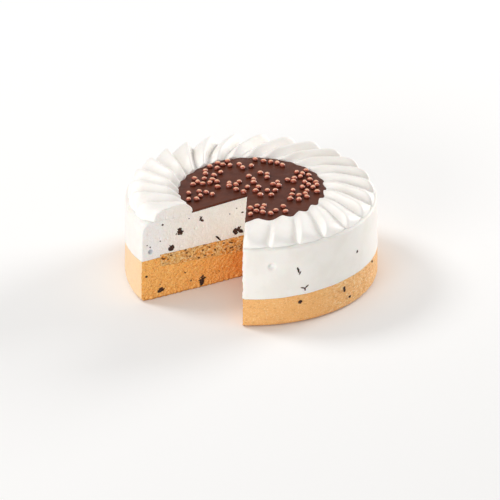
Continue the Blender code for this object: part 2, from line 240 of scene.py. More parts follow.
# Camera: distance in metres, elevation in degrees, lens in millimetres and shift of the picture
CAMERA_DISTANCE = 2.0
CAMERA_ELEVATION = 26.83
CAMERA_LENS = 202.8
CAMERA_SHIFT = (-0.0024, 0.0362)


def clip01(values):
    return np.clip(values, 0.0, 1.0)


def azimuth_of(x, y):
    return np.degrees(np.arctan2(y, x))


def direction(azimuth):
    return np.array((math.cos(math.radians(azimuth)), math.sin(math.radians(azimuth))))


def open_side(cut):
    """Direction from a cut face into the missing slice."""
    along = direction(cut)
    return np.array((-along[1], along[0])) if cut == LEFT_CUT else np.array((along[1], -along[0]))


def reach(x, y, azimuth):
    """How far a place lies towards an azimuth, as a share of the cake's radius."""
    return np.maximum(0.0, np.stack((x, y), -1) @ direction(azimuth)) / CAKE_RADIUS


def beside(azimuth, middle, spread):
    """Share that is 1 at the middle azimuth and dies away over the spread."""
    return np.exp(-(((azimuth - middle + 180.0) % 360.0 - 180.0) / spread) ** 2)


def wobble(points, size, seed=0):
    """Smooth noise from -1 to 1, with bumps of about the given size, which may differ by axis."""
    return np.array([noise.noise(row) for row in (points / size + 31.7 * seed).tolist()])


def pores(points, size, width, seed=0):
    """Round pores, 1 at their middle: about one to each cube of the given size, of uneven width."""
    deep = []
    for row in (points / size + 31.7 * seed).tolist():
        distances, centres = noise.voronoi(row)
        own = width / np.max(size) * (0.3 + 0.7 * abs(noise.cell(centres[0] * 57.0)))
        deep.append(max(0.0, 1.0 - (distances[0] / own) ** 2))
    return np.array(deep)


def flat_wobble(x, y, size, seed):
    return wobble(np.stack((x, y, 0 * x), -1), size, seed)


def top_height(x, y):
    """Height of the vanilla layer's top: crowned, and settled towards one side."""
    radius = np.hypot(x, y)
    crown = CROWN_HEIGHT * (1.0 - clip01((radius - RING_INNER) / (RING_OUTER - RING_INNER)))
    settled = SETTLE_DROP * (1.0 - clip01((radius - SETTLE_FADE[0]) / (SETTLE_FADE[1] - SETTLE_FADE[0])))
    return SHOULDER_HEIGHT + crown - settled * reach(x, y, SETTLE_AZIMUTH) ** SETTLE_POWER


def seam_height(x, y):
    """Height of the caramel's upper edge at the side."""
    azimuth = azimuth_of(x, y)
    wave = SEAM_WAVE * np.cos(np.radians(3 * (azimuth - SEAM_WAVE_AZIMUTH)))
    facing = np.maximum(0.0, np.cos(np.radians(azimuth - SEAM_RISE_AZIMUTH)))
    ripple = 0.22 * flat_wobble(x, y, 9.0, 3)
    return SEAM_HEIGHT + wave + ripple + SEAM_RISE * facing ** SEAM_RISE_POWER


def sponge_bottom(x, y):
    ripple = 0.45 * flat_wobble(x, y, 4.5, 1)
    return SPONGE_BOTTOM[0] + ripple + SPONGE_BOTTOM[1] * reach(x, y, SPONGE_AZIMUTH) ** SPONGE_POWER


def sponge_top(x, y):
    ripple = 0.35 * flat_wobble(x, y, 4.0, 2)
    return SPONGE_TOP[0] + ripple + SPONGE_TOP[1] * reach(x, y, SPONGE_AZIMUTH) ** SPONGE_POWER


def flat_base(x, y):
    return 0.0 * x


def shoulder_size(azimuth):
    at_corner = beside(azimuth, CORNER_AZIMUTH, CORNER_SPREAD)
    return tuple(size + more * at_corner for size, more in zip(SHOULDER_SIZE, CORNER_SHOULDER_SIZE))


def side_radius(azimuth, height):
    bulge = CORNER_BULGE * beside(azimuth, CORNER_AZIMUTH, CORNER_SPREAD)
    return CAKE_RADIUS + bulge - WALL_TAPER * height / SHOULDER_HEIGHT


def rest_height(x, y):
    """Height of the vanilla's surface with its rounded shoulder, which the ring follows."""
    azimuth = azimuth_of(x, y)
    width, drop = shoulder_size(azimuth)
    over = clip01((np.hypot(x, y) - side_radius(azimuth, SHOULDER_HEIGHT) + width) / width)
    return top_height(x, y) - drop * (1.0 - np.sqrt(1.0 - over ** 2))


def side_row(height, inset):
    """Row of points on the side, from the right cut round to the left one, seen from the slice's tip."""
    turn = np.radians(np.linspace(RIGHT_CUT, LEFT_CUT, SIDE_COLUMNS))
    ray = np.stack((np.cos(turn), np.sin(turn)), -1)
    along = ray @ APEX
    azimuth = np.degrees(turn)
    for _ in range(12):
        level = height(azimuth)
        radius = side_radius(azimuth, level) - inset(azimuth)
        far = -along + np.sqrt(along ** 2 - APEX @ APEX + radius ** 2)
        place = APEX + far[:, None] * ray
        azimuth = azimuth_of(place[:, 0], place[:, 1])
    return np.column_stack((place, level))


def at_side(function):
    """The same function of a place, for the place on the side at an azimuth."""
    def at_azimuth(azimuth):
        turn = np.radians(azimuth)
        return function(CAKE_RADIUS * np.cos(turn), CAKE_RADIUS * np.sin(turn))
    return at_azimuth


def constant(value):
    """Function that gives the same value at every azimuth."""
    return lambda azimuth: value + 0.0 * azimuth


class Solid:
    """Closed surface put together from patches that have the same points along shared edges."""

    def __init__(self):
        self.parts = []
        self.faces = []
        self.kinds = []
        self.count = 0

    def add(self, points, faces, kind):
        self.parts.append(np.asarray(points, float).reshape(-1, 3))
        self.faces += [[corner + self.count for corner in face] for face in faces]
        self.kinds += [kind] * len(faces)
        self.count += len(self.parts[-1])

    def add_rows(self, rows, kinds, closed=False):
        """Grid over rows of points; kinds gives the kind of face above each row."""
        wide = rows.shape[1]
        last = len(rows) if closed else len(rows) - 1
        for low in range(last):
            high = (low + 1) % len(rows)
            pair = np.vstack((rows[low], rows[high]))
            self.add(pair, [(i, i + 1, wide + i + 1, wide + i) for i in range(wide - 1)], kinds[low])

    def weld(self):
        points = np.vstack(self.parts)
        _, first, place = np.unique(np.round(points, 4), axis=0, return_index=True, return_inverse=True)
        place = place.ravel().tolist()
        self.points = points[first]
        faces = []
        kinds = []
        for face, kind in zip(self.faces, self.kinds):
            corners = list(dict.fromkeys(place[corner] for corner in face))
            if len(corners) > 2:
                faces.append(corners)
                kinds.append(kind)
        self.faces = faces
        self.kinds = kinds
        pairs = set()
        self.marks = {kind: np.zeros(len(self.points), bool) for kind in (HIDDEN, SIDE, LEFT, RIGHT)}
        for face, kind in zip(faces, kinds):
            self.marks[kind][face] = True
            if kind != HIDDEN:
                pairs.update((min(a, b), max(a, b)) for a, b in zip(face, face[1:] + face[:1]))
        self.pairs = np.array(sorted(pairs))

    def soften(self, weight, rounds, level_kept=True):
        """Round the form where the weight is above 0, only level across if the level is kept."""
        a, b = self.pairs.T
        size = len(self.points)
        degree = np.maximum(1, np.bincount(a, minlength=size) + np.bincount(b, minlength=size))
        for _ in range(rounds):
            for axis in range(2 if level_kept else 3):
                own = self.points[:, axis]
                mean = (np.bincount(a, own[b], size) + np.bincount(b, own[a], size)) / degree
                self.points[:, axis] = own + 0.5 * weight * (mean - own)

    def near(self, mark, width):
        """Weight that is 1 at the marked points and fades out over a width from them."""
        tree = kdtree.KDTree(int(mark.sum()))
        for i, point in enumerate(self.points[mark]):
            tree.insert(point, i)
        tree.balance()
        gaps = np.array([tree.find(point)[2] for point in self.points])
        return clip01(1.5 * (1.0 - gaps / width))

    def push(self, kind, way, depth):
        """Move the points of a kind of face along one direction, or each along its own."""
        mark = self.marks[kind]
        self.points[mark] += (depth[:, None] * way)[mark]

    def push_cuts(self, depth):
        """Move the points of both cut faces straight out of them."""
        for kind in (LEFT, RIGHT):
            self.push(kind, way_out(kind, 0.0), depth)

    def on_cuts(self):
        return self.marks[LEFT] | self.marks[RIGHT]

    def corners(self):
        """Points where the side meets a cut face."""
        return self.marks[SIDE] & self.on_cuts()

    def mesh(self, name):
        """Mesh in metres, sharp only where a visible face meets a hidden one."""
        form = bmesh.new()
        verts = [form.verts.new(point) for point in (self.points * 0.001).tolist()]
        for face, kind in zip(self.faces, self.kinds):
            made = form.faces.new([verts[corner] for corner in face])
            made.material_index = 1 if kind in (LEFT, RIGHT) else 0
            made.smooth = True
            made.tag = kind == HIDDEN
        bmesh.ops.recalc_face_normals(form, faces=form.faces)
        for edge in form.edges:
            edge.smooth = len({face.tag for face in edge.link_faces}) == 1
        mesh = bpy.data.meshes.new(name)
        form.to_mesh(mesh)
        form.free()
        return mesh


def grid_inside(outline, spacing, seed):
    """Uneven points inside a flat outline, about a spacing apart and clear of its edge."""
    low = outline.min(0)
    high = outline.max(0)
    across = np.arange(low[0], high[0], spacing)
    up = np.arange(low[1], high[1], spacing * 0.866)
    u, v = np.meshgrid(across, up)
    u[1::2] += spacing / 2
    inner = np.stack((u.ravel(), v.ravel()), -1)
    inner += np.random.default_rng(seed).uniform(-0.22, 0.22, inner.shape) * spacing
    following = np.roll(outline, -1, 0)
    inside = np.zeros(len(inner), bool)
    for (ax, ay), (bx, by) in zip(outline.tolist(), following.tolist()):
        if ay != by:
            crossing = (ay > inner[:, 1]) != (by > inner[:, 1])
            inside ^= crossing & (inner[:, 0] < ax + (inner[:, 1] - ay) * (bx - ax) / (by - ay))
    inner = inner[inside]
    tree = kdtree.KDTree(len(outline))
    for i, (a, b) in enumerate(outline.tolist()):
        tree.insert((a, b, 0.0), i)
    tree.balance()
    clear = [tree.find((a, b, 0.0))[2] > 0.55 * spacing for a, b in inner.tolist()]
    return inner[clear]


def fill(outline, inner):
    """Triangles inside an outline of flat points, over it and over the inner points."""
    flat = [Vector(point) for point in np.vstack((outline, inner)).tolist()]
    _, _, faces, origins, _, _ = delaunay_2d_cdt(flat, [], [list(range(len(outline)))], 1, 1e-5)
    return [[origins[corner][0] for corner in face] for face in faces]


def spaced(start, end, spacing):
    return np.linspace(start, end, max(2, int(abs(end - start) / spacing) + 1))


def distance_to(cut, radius):
    """Distance along a cut face from the slice's tip to a radius of the cake."""
    part = APEX @ direction(cut)
    return -part + math.sqrt(part ** 2 - APEX @ APEX + radius ** 2)


def edge_path(cut, level, end, spacing, rim=None, outer=None):
    """Line on a cut face from the slice's tip outwards: distances and levels.

    With a rim, the line steps to the outer level where it passes that radius.
    """
    along = direction(cut)

    def levels(function, far):
        place = APEX + far[:, None] * along
        return function(place[:, 0], place[:, 1])

    if rim is None:
        far = spaced(0.0, end[0], spacing)
        path = np.column_stack((far, levels(level, far)))
    else:
        step = distance_to(cut, rim)
        inner_far = spaced(0.0, step - SLIT, spacing)
        outer_far = spaced(step + SLIT, end[0], spacing)
        inner_path = np.column_stack((inner_far, levels(level, inner_far)))
        outer_path = np.column_stack((outer_far, levels(outer, outer_far)))
        rise = len(spaced(inner_path[-1, 1], outer_path[0, 1], spacing))
        between = np.linspace(inner_path[-1], outer_path[0], rise + 1)[1:-1]
        path = np.vstack((inner_path, between, outer_path))
    path[-1] = end
    return path


def on_cut(cut, path):
    """Points in space for distances and levels on a cut face."""
    return np.column_stack((APEX + path[:, :1] * direction(cut), path[:, 1]))


def distance_along(cut, points):
    return (points[..., :2] - APEX) @ direction(cut)


def layer(rows, low, high, spacing, rim_low=None, rim_high=None):
    """Closed layer of the cake, from rows of points up its side and functions for its faces.

    low and high each hold one function, or two: one inside the rim's radius and one outside.
    """
    solid = Solid()
    solid.add_rows(rows, [SIDE] * len(rows))
    tops = {}
    bottoms = {}
    tip = None
    for cut, kind, column in CUT_FACES:
        side = np.column_stack((distance_along(cut, rows[:, column]), rows[:, column, 2]))
        low_path = edge_path(cut, low[0], side[0], spacing, rim_low, low[-1])
        high_path = edge_path(cut, high[0], side[-1], spacing, rim_high, high[-1])
        if tip is None:
            steps = len(spaced(high_path[0, 1], low_path[0, 1], spacing))
            tip = np.linspace(high_path[0], low_path[0], steps + 1)
        outline = np.vstack((low_path[:-1], side[:-1], high_path[:0:-1], tip[:-1]))
        inner = grid_inside(outline, spacing, kind)
        bottoms[kind] = on_cut(cut, low_path)
        bottoms[kind][-1] = rows[0, column]
        tops[kind] = on_cut(cut, high_path)
        tops[kind][-1] = rows[-1, column]
        every = on_cut(cut, np.vstack((outline, inner)))
        side_start = len(low_path) - 1
        top_start = side_start + len(side) - 1
        every[side_start:top_start] = rows[:-1, column]
        every[top_start:top_start + len(high_path) - 1] = tops[kind][:0:-1]
        solid.add(every, fill(outline, inner), kind)
    for row, ends, level, rim in ((rows[0], bottoms, low, rim_low), (rows[-1], tops, high, rim_high)):
        outline = np.vstack((row, ends[LEFT][-2::-1], ends[RIGHT][1:-1]))
        inner = grid_inside(outline[:, :2], HIDDEN_SPACING, 7)
        if rim is not None:
            inner = inner[np.abs(np.hypot(inner[:, 0], inner[:, 1]) - rim) > 1.5]
            turn = np.radians(np.arange(RIGHT_CUT + 3.0, LEFT_CUT - 4.5, 2.0))
            circle = np.stack((np.cos(turn), np.sin(turn)), -1)
            kept = clear_of_slice(rim * circle[:, 0], rim * circle[:, 1], 0.8)
            inner = np.vstack((inner, (rim - SLIT) * circle[kept], (rim + SLIT) * circle[kept]))
        x, y = inner.T
        height = level[0](x, y)
        if rim is not None:
            height = np.where(np.hypot(x, y) < rim, height, level[-1](x, y))
        solid.add(np.vstack((outline, np.column_stack((inner, height)))), fill(outline[:, :2], inner), HIDDEN)
    solid.weld()
    return solid


def clear_of_slice(x, y, clearance):
    """Whether a point keeps a distance from both cut faces."""
    place = np.stack((x, y), -1) - APEX
    return ((place @ open_side(LEFT_CUT)) < -clearance) | ((place @ open_side(RIGHT_CUT)) < -clearance)


def rounded_rows(profile, heights, count):
    """Rows up the side: those of a rounding, then even ones between two heights."""
    rows = [side_row(height, inset) for height, inset in profile]
    for share in np.linspace(0.0, 1.0, count):
        rows.append(side_row(lambda azimuth: heights[0](azimuth) * (1 - share) + heights[1](azimuth) * share,
                             constant(0.0)))
    return rows


def cut_relief(points):
    """Relief of the white cut faces: creamy, with a few fine pores, ragged at its outer corner."""
    radius = np.hypot(points[:, 0], points[:, 1])
    at_edge = clip01(1.0 - (side_radius(azimuth_of(points[:, 0], points[:, 1]), points[:, 2]) - radius) / 2.5)
    ragged = 0.6 + wobble(points, 2.8, 5) + 0.6 * wobble(points, 1.3, 6)
    at_front = clip01(points[:, 0] / 12.0 + 1.5)
    relief = 0.20 * wobble(points, 7.0, 1) + 0.13 * wobble(points, 2.0, 2) + 0.06 * wobble(points, 1.0, 3)
    relief -= 0.45 * pores(points, 4.6, 1.1, 1)
    return relief + at_edge * ragged * (0.12 + 0.60 * at_front)


def dent(points, centre, radius, depth):
    """Depth of a round hollow at each point."""
    gaps = np.linalg.norm(points - centre, axis=1)
    return depth * clip01(1.0 - (gaps / radius) ** 2) ** 1.5


def place_on(face, along, level):
    """Point on a cut face, at a distance from its tip, or on the side, at an azimuth."""
    if face == SIDE:
        return np.array((*(side_radius(along, level) * direction(along)), level))
    cut = LEFT_CUT if face == LEFT else RIGHT_CUT
    return np.array((*(APEX + along * direction(cut)), level))


def way_out(face, along):
    """Direction out of a cut face, or out of the side at an azimuth."""
    if face == SIDE:
        return np.array((*direction(along), 0.0))
    return np.array((*open_side(LEFT_CUT if face == LEFT else RIGHT_CUT), 0.0))


def relieve(solid, cut_depth, side_depth):
    """Press relief into the cut faces and the side, straight into each."""
    points = solid.points
    radius = np.maximum(1.0, np.hypot(points[:, 0], points[:, 1]))
    out = points * (1.0, 1.0, 0.0) / radius[:, None]
    side = side_depth(points)
    cut = cut_depth(points)
    solid.push(SIDE, out, side)
    solid.push_cuts(cut)


def caramel_solid():
    profile = []
    for angle in np.radians(np.arange(0.0, 90.0, 11.25)):
        profile.append((constant(FOOT_ROUNDING * (1.0 - math.cos(angle))),
                        constant(FOOT_ROUNDING * (1.0 - math.sin(angle)))))
    heights = (constant(FOOT_ROUNDING), at_side(seam_height))
    rows = np.array(rounded_rows(profile, heights, 30))
    solid = layer(rows, (flat_base,), (sponge_bottom, seam_height), CUT_SPACING, rim_high=SPONGE_RADIUS)
    solid.soften(solid.near(solid.corners(), 1.6), 6)

    def side_depth(points):
        grain = 0.06 * wobble(points, 2.2, 2) + 0.05 * wobble(points, 1.2, 3)
        azimuth = azimuth_of(points[:, 0], points[:, 1])
        patches = 0.3 * clip01(2 * wobble(points, (22.0, 22.0, 12.0), 8))
        rough = patches + beside(azimuth, SCRAPED_AZIMUTH, SCRAPED_SPREAD)
        scraped = 0.30 * rough * wobble(points, (2.6, 2.6, 1.5), 9)
        return -0.36 + 0.08 * wobble(points, 11.0, 1) + grain + scraped

    def cut_depth(points):
        foot = clip01(1.0 - points[:, 2] / 6.0)
        ridges = 1.0 * foot * wobble(points, (1.9, 1.9, 7.0), 4)
        slanted = points.copy()
        slanted[:, 2] += CARAMEL_SLANT * (points[:, :2] @ direction(LEFT_CUT))
        grain = 0.50 * wobble(slanted, (3.6, 3.6, 1.4), 2) + 0.24 * wobble(points, 0.9, 3)
        return 0.25 * wobble(points, 8.0, 1) + grain + ridges - 0.7 * pores(points, 4.2, 1.1, 2)

    relieve(solid, cut_depth, side_depth)
    return solid


def sponge_solid():
    level = 25.0
    x, y, _ = side_row(constant(level), lambda azimuth: side_radius(azimuth, level) - SPONGE_RADIUS).T
    low = sponge_bottom(x, y)
    high = sponge_top(x, y)
    rows = [np.column_stack((x, y, low * (1 - share) + high * share)) for share in np.linspace(0.0, 1.0, 14)]
    solid = layer(np.array(rows), (sponge_bottom,), (sponge_top,), SPONGE_SPACING)

    def cut_depth(points):
        crumb = 0.34 * wobble(points, 2.6, 2) + 0.24 * wobble(points, 1.2, 3)
        holes = 1.2 * pores(points, (3.4, 3.4, 2.2), 1.9, 3) + 0.7 * pores(points, 1.5, 0.9, 4)
        return crumb - holes

    relieve(solid, cut_depth, lambda points: 0.0 * points[:, 0])
    return solid


def vanilla_solid():
    lip = side_row(at_side(seam_height), constant(0.35))
    heights = (lambda azimuth: at_side(seam_height)(azimuth) + 0.25,
               lambda azimuth: SHOULDER_HEIGHT - shoulder_size(azimuth)[1])
    rows = [lip] + rounded_rows([], heights, 46)
    for angle in np.radians(np.linspace(0.0, 90.0, 12))[1:]:
        inward = 1.0 - math.cos(angle)
        down = 1.0 - math.sin(angle)
        rows.append(side_row(lambda azimuth: SHOULDER_HEIGHT - down * shoulder_size(azimuth)[1],
                             lambda azimuth: inward * shoulder_size(azimuth)[0]))
    rows = np.array(rows)
    solid = layer(rows, (sponge_top, seam_height), (top_height,), CUT_SPACING, rim_low=SPONGE_RADIUS)
    corner = solid.corners()
    solid.soften(solid.near(corner, 2.8), 14)
    high = corner & (solid.points[:, 2] > 50.0)
    solid.soften(solid.near(high, 4.0), 24, level_kept=False)
    pit = place_on(LEFT, *CUT_PIT)
    hollow = place_on(SIDE, *SIDE_HOLLOW)

    def side_depth(points):
        grain = 0.03 * wobble(points, 2.6, 2) + 0.02 * wobble(points, 1.1, 3)
        slack = -0.16 + 0.13 * wobble(points, (14.0, 14.0, 9.0), 1)
        return slack + grain - dent(points, hollow, *SIDE_HOLLOW_SIZE) - 0.25 * pores(points, 9.0, 0.9, 5)

    relieve(solid, lambda points: cut_relief(points) - dent(points, pit, *CUT_PIT_SIZE), side_depth)
    return solid


def crease_azimuth(turns):
    hidden = (360.0 - PETAL_PITCH * PETALS_SHOWN) / (PETALS - PETALS_SHOWN)
    shown = np.clip(turns, 0, PETALS_SHOWN)
    return PETAL_FIRST_AZIMUTH + PETAL_PITCH * shown + hidden * (turns - shown)


def swung(azimuth, middle, swing, peak):
    return middle + swing * np.cos(np.radians(azimuth - peak))


def rising(share, span):
    return np.sin(np.pi / 2 * np.minimum(1.0, share / span))


def rounded_end(share, span):
    return np.sqrt(1.0 - (1.0 - np.minimum(1.0, (1.0 - share) / span)) ** 2)


def petal_point(turns, share):
    """Place on the ring: x, y, azimuth of the petal's outer end, height on its ridge, and petal."""
    petal = np.floor(turns)
    step = turns - petal
    narrower = NARROW_FLANK * share * beside(crease_azimuth(petal), NARROW_AZIMUTH, NARROW_SPREAD)
    crest = PETAL_CREST[0] + (PETAL_CREST[1] - PETAL_CREST[0]) * (1.0 - share) ** PETAL_CREST_POWER
    crest = crest - narrower
    phase = np.where(step < 1 / 3, 3 * crest * step, crest + (1.0 - crest) * (1.5 * step - 0.5))
    outer = crease_azimuth(petal + phase)
    twist = swung(outer, *PETAL_TWIST, PETAL_TWIST_AZIMUTH)
    twist = twist * (1.0 - STRAIGHTENING * beside(outer, STRAIGHT_AZIMUTH, STRAIGHT_SPREAD))
    turn = np.radians(outer + twist * (1.0 - share) ** PETAL_TWIST_POWER)
    rise = np.sin(np.pi / 2 * np.minimum(1.0, phase / crest))
    fall = 1.0 - np.maximum(0.0, (phase - crest) / (1.0 - crest)) ** PETAL_FALL_POWER
    height = np.where(phase < crest, rise, np.maximum(0.0, fall))
    height = height ** (1.0 + PETAL_SHARPENING * np.maximum(0.0, 1.0 - share / PETAL_SHARP_SHARE))
    full = beside(np.degrees(turn), FULL_AZIMUTH, FULL_SPREAD)
    height = height + FULLNESS * full * (1.0 - height)
    inner_radius = RING_INNER + INNER_SCALLOP * (0.5 - height)
    outer_radius = RING_OUTER - OUTER_SCALLOP * (1.0 - height) ** 2 - FULL_DRAWN_IN * full
    radius = inner_radius + (outer_radius - inner_radius) * share
    return radius * np.cos(turn), radius * np.sin(turn), outer, height, petal.astype(int)


def cream_top(turns, share):
    """Points on the petals."""
    x, y, outer, height, petal = petal_point(turns, share)
    thinned = EDGE_THINNING * clip01(1.0 - (1.0 - share) / EDGE_THIN_SHARE)
    floor = rest_height(x, y) + EDGE_HEIGHT * (1.0 - thinned)
    rise = CREST_START + (1.0 - CREST_START) * rising(share, CREST_RISE_SHARE)
    uneven = np.random.default_rng(PETAL_SEED).uniform(-PETAL_UNEVENNESS, 0.0, PETALS + 3)[petal]
    crest = (swung(outer, *CREST_LEVEL, CREST_LEVEL_AZIMUTH) + uneven - floor) * rise
    crease = (CREASE_LEVEL[0] - CREASE_LEVEL[1] * share - floor) * rising(share, CREASE_RISE_SHARE)
    crest = crest * rounded_end(share, CREST_FALL_SHARE)
    crease = crease * rounded_end(share, CREASE_FALL_SHARE)
    return np.stack((x, y, floor + crease + (crest - crease) * height), -1)


def cream_bottom(turns, share):
    x, y, *_ = petal_point(turns, share)
    return np.stack((x, y, rest_height(x, y)), -1)


def turns_at_cut(cut, low, high, share):
    """Number of petals at which each row of the ring meets a cut face."""
    low = np.full(share.shape, low)
    high = np.full(share.shape, high)
    for _ in range(50):
        middle = (low + high) / 2
        x, y, *_ = petal_point(middle, share)
        past = (np.stack((x, y), -1) - APEX) @ open_side(cut) > 0
        before = past if cut == RIGHT_CUT else ~past
        low = np.where(before, middle, low)
        high = np.where(before, high, middle)
    return middle


def cream_solid():
    even = np.linspace(0.0, 1.0, PETAL_ROWS + 1)
    shares = 0.5 * even + 0.25 * (1.0 - np.cos(np.pi * even))
    start = turns_at_cut(RIGHT_CUT, -1.8, 0.6, shares)
    end = turns_at_cut(LEFT_CUT, 20.5, 24.0, shares)
    first = math.floor(start.min() * PETAL_COLUMNS)
    last = math.ceil(end.max() * PETAL_COLUMNS)
    turns = np.arange(first, last + 1)[None, :] / PETAL_COLUMNS
    turns = np.clip(turns, start[:, None], end[:, None])
    share = shares[:, None] + 0.0 * turns
    top = cream_top(turns, share)
    bottom = cream_bottom(turns, share)[::2]
    outer_side = np.linspace(bottom[-1], top[-1], 5)[1:-1]
    inner_side = np.linspace(top[0], bottom[0], 5)[1:-1]
    rows = np.vstack((bottom, outer_side, top[::-1], inner_side))
    kinds = [HIDDEN] * (len(bottom) - 1) + [SIDE] * (len(rows) - len(bottom) + 1)
    solid = Solid()
    solid.add_rows(rows, kinds, closed=True)
    for cut, kind, column in CUT_FACES:
        section = rows[:, column]
        outline = np.column_stack((distance_along(cut, section), section[:, 2]))
        inner = grid_inside(outline, CUT_SPACING, kind)
        solid.add(np.vstack((section, on_cut(cut, inner))), fill(outline, inner), kind)
    solid.weld()
    points = solid.points
    base = points[:, 2] - rest_height(points[:, 0], points[:, 1])
    off_base = clip01(base / 0.6)
    corner = solid.corners() & (base > 0.8)
    solid.soften(solid.near(corner, 4.0) * off_base, 34, level_kept=False)
    solid.soften(0.5 * off_base * ~solid.on_cuts(), 2, level_kept=False)
    face = ~(solid.on_cuts() | solid.marks[HIDDEN])
    relief = -0.10 + 0.10 * wobble(points, 6.0, 1) + 0.03 * wobble(points, 2.0, 2)
    points[face, 2] += relief[face]
    solid.push_cuts(cut_relief(points))
    return solid


def glaze_solid():
    turns = np.arange(-PETAL_COLUMNS * 2, PETAL_COLUMNS * 24) / PETAL_COLUMNS
    x, y, *_ = petal_point(turns, 0.0 * turns)
    spread = 1.0 + GLAZE_UNDER_PETALS / np.hypot(x, y)
    edge = np.stack((x * spread, y * spread), -1)
    seen = (turns > -1.5) & (turns < 23.0) & clear_of_slice(edge[:, 0], edge[:, 1], GLAZE_CORNER_CLEARANCE)
    ends = []
    for cut in (RIGHT_CUT, LEFT_CUT):
        far = distance_to(cut, RING_INNER + GLAZE_UNDER_PETALS)
        ends.append(APEX + spaced(0.0, far, 0.6)[:, None] * direction(cut))
    outline = np.vstack((ends[0], edge[seen], ends[1][:0:-1]))
    lead = np.roll(outline, -2, 0) - np.roll(outline, 2, 0)
    inward = np.stack((-lead[:, 1], lead[:, 0]), -1) / np.linalg.norm(lead, axis=1)[:, None]
    rows = []
    for inset, lift in GLAZE_EDGE:
        place = outline + inset * inward
        rows.append(np.column_stack((place, top_height(place[:, 0], place[:, 1]) + lift)))
    rows = np.array([np.vstack((row, row[:1])) for row in rows])
    solid = Solid()
    solid.add_rows(rows, [SIDE] * len(rows))
    under = (rows[0], HIDDEN, 0.0, HIDDEN_SPACING)
    over = (rows[-1], SIDE, GLAZE_THICKNESS, GLAZE_SPACING)
    for row, kind, lift, spacing in (under, over):
        ring = row[:-1]
        inner = grid_inside(ring[:, :2], spacing, 5)
        height = top_height(inner[:, 0], inner[:, 1]) + lift
        solid.add(np.vstack((ring, np.column_stack((inner, height)))), fill(ring[:, :2], inner), kind)
    solid.weld()
    points = solid.points.copy()
    above = points[:, 2] - top_height(points[:, 0], points[:, 1]) > 0.6
    swell = 0.18 * wobble(points, 8.0, 4) + 0.05 * wobble(points, 2.4, 5)
    solid.points[above, 2] += swell[above]
    x, y, _ = points.T
    cut_edge = ~clear_of_slice(x, y, 1.0) & (np.hypot(x, y) < 51.0)
    ragged = 0.22 * wobble(points, 2.2, 6)
    solid.points[cut_edge, 0] += ragged[cut_edge]
    return solid


def pearl_places():
    """Seeded places and turns of the pearls: scattered over each cluster, never one on another."""
    draw = random.Random(PEARL_SEED)
    limit = RING_INNER - INNER_SCALLOP - PEARL_EDGE_CLEARANCE - PEARL_RADIUS * PEARL_STRETCH[0]
    places = []
    for cx, cy, long_half, short_half, azimuth, count in PEARL_CLUSTERS:
        turn = math.radians(azimuth)
        wanted = len(places) + count
        for _ in range(PEARL_TRIES):
            if len(places) == wanted:
                break
            along = long_half * draw.uniform(-1, 1)
            across = short_half * draw.uniform(-1, 1)
            x = cx + along * math.cos(turn) - across * math.sin(turn)
            y = cy + along * math.sin(turn) + across * math.cos(turn)
            if math.hypot(x, y) > limit or not clear_of_slice(x, y, PEARL_CUT_CLEARANCE):
                continue
            if all(math.hypot(x - px, y - py) > PEARL_SPACING for px, py, _ in places):
                places.append((x, y, draw.uniform(0, math.pi)))
    return places


def ball():
    form = bmesh.new()
    bmesh.ops.create_icosphere(form, subdivisions=BALL_SUBDIVISIONS, radius=1.0)
    form.verts.ensure_lookup_table()
    points = np.array([vert.co for vert in form.verts])
    faces = [[vert.index for vert in face.verts] for face in form.faces]
    form.free()
    return points, faces


def turned(points, turn, tilt):
    """Points turned about Z after a tilt about X."""
    c, s = math.cos(tilt), math.sin(tilt)
    x, y, z = points.T
    y, z = c * y - s * z, s * y + c * z
    c, s = math.cos(turn), math.sin(turn)
    return np.stack((c * x - s * y, s * x + c * y, z), -1)


def pearl_solid():
    points, faces = ball()
    solid = Solid()
    draw = random.Random(PEARL_SIZE_SEED)
    for i, (x, y, turn) in enumerate(pearl_places()):
        knobbly = 1.0 + 0.06 * wobble(points, 0.9, i) + 0.025 * wobble(points, 0.35, i)
        size = PEARL_RADIUS * draw.uniform(0.90, 1.0)
        own = turned(points * knobbly[:, None] * PEARL_STRETCH * size, turn, draw.uniform(-0.2, 0.2))
        level = top_height(np.array([x]), np.array([y]))[0] + GLAZE_THICKNESS + PEARL_LIFT * PEARL_RADIUS
        solid.add(own + (x, y, level), faces, SIDE)
    solid.weld()
    return solid


def scattered_chips():
    """Seeded bits on the faces: face, place along it, level, length, width and lean."""
    draw = random.Random(CHIP_SEED)
    found = []
    for _ in range(16):
        found.append((SIDE, draw.uniform(-10, 205), draw.choice((draw.uniform(6, 18), draw.uniform(28, 50)))))
    for _ in range(16):
        found.append((RIGHT, draw.uniform(6, 74), draw.choice((draw.uniform(3, 16), draw.uniform(36, 56)))))
    for _ in range(14):
        found.append((LEFT, draw.uniform(8, 82), draw.choice((draw.uniform(2, 17), draw.uniform(36, 56)))))
    bits = []
    for i, (face, along, level) in enumerate(found):
        long = draw.uniform(0.6, 1.0) if face == LEFT else draw.uniform(0.8, 2.8)
        bits.append((face, along, level, long, long * draw.uniform(0.4, 0.9), draw.uniform(0, 180)))
    return bits


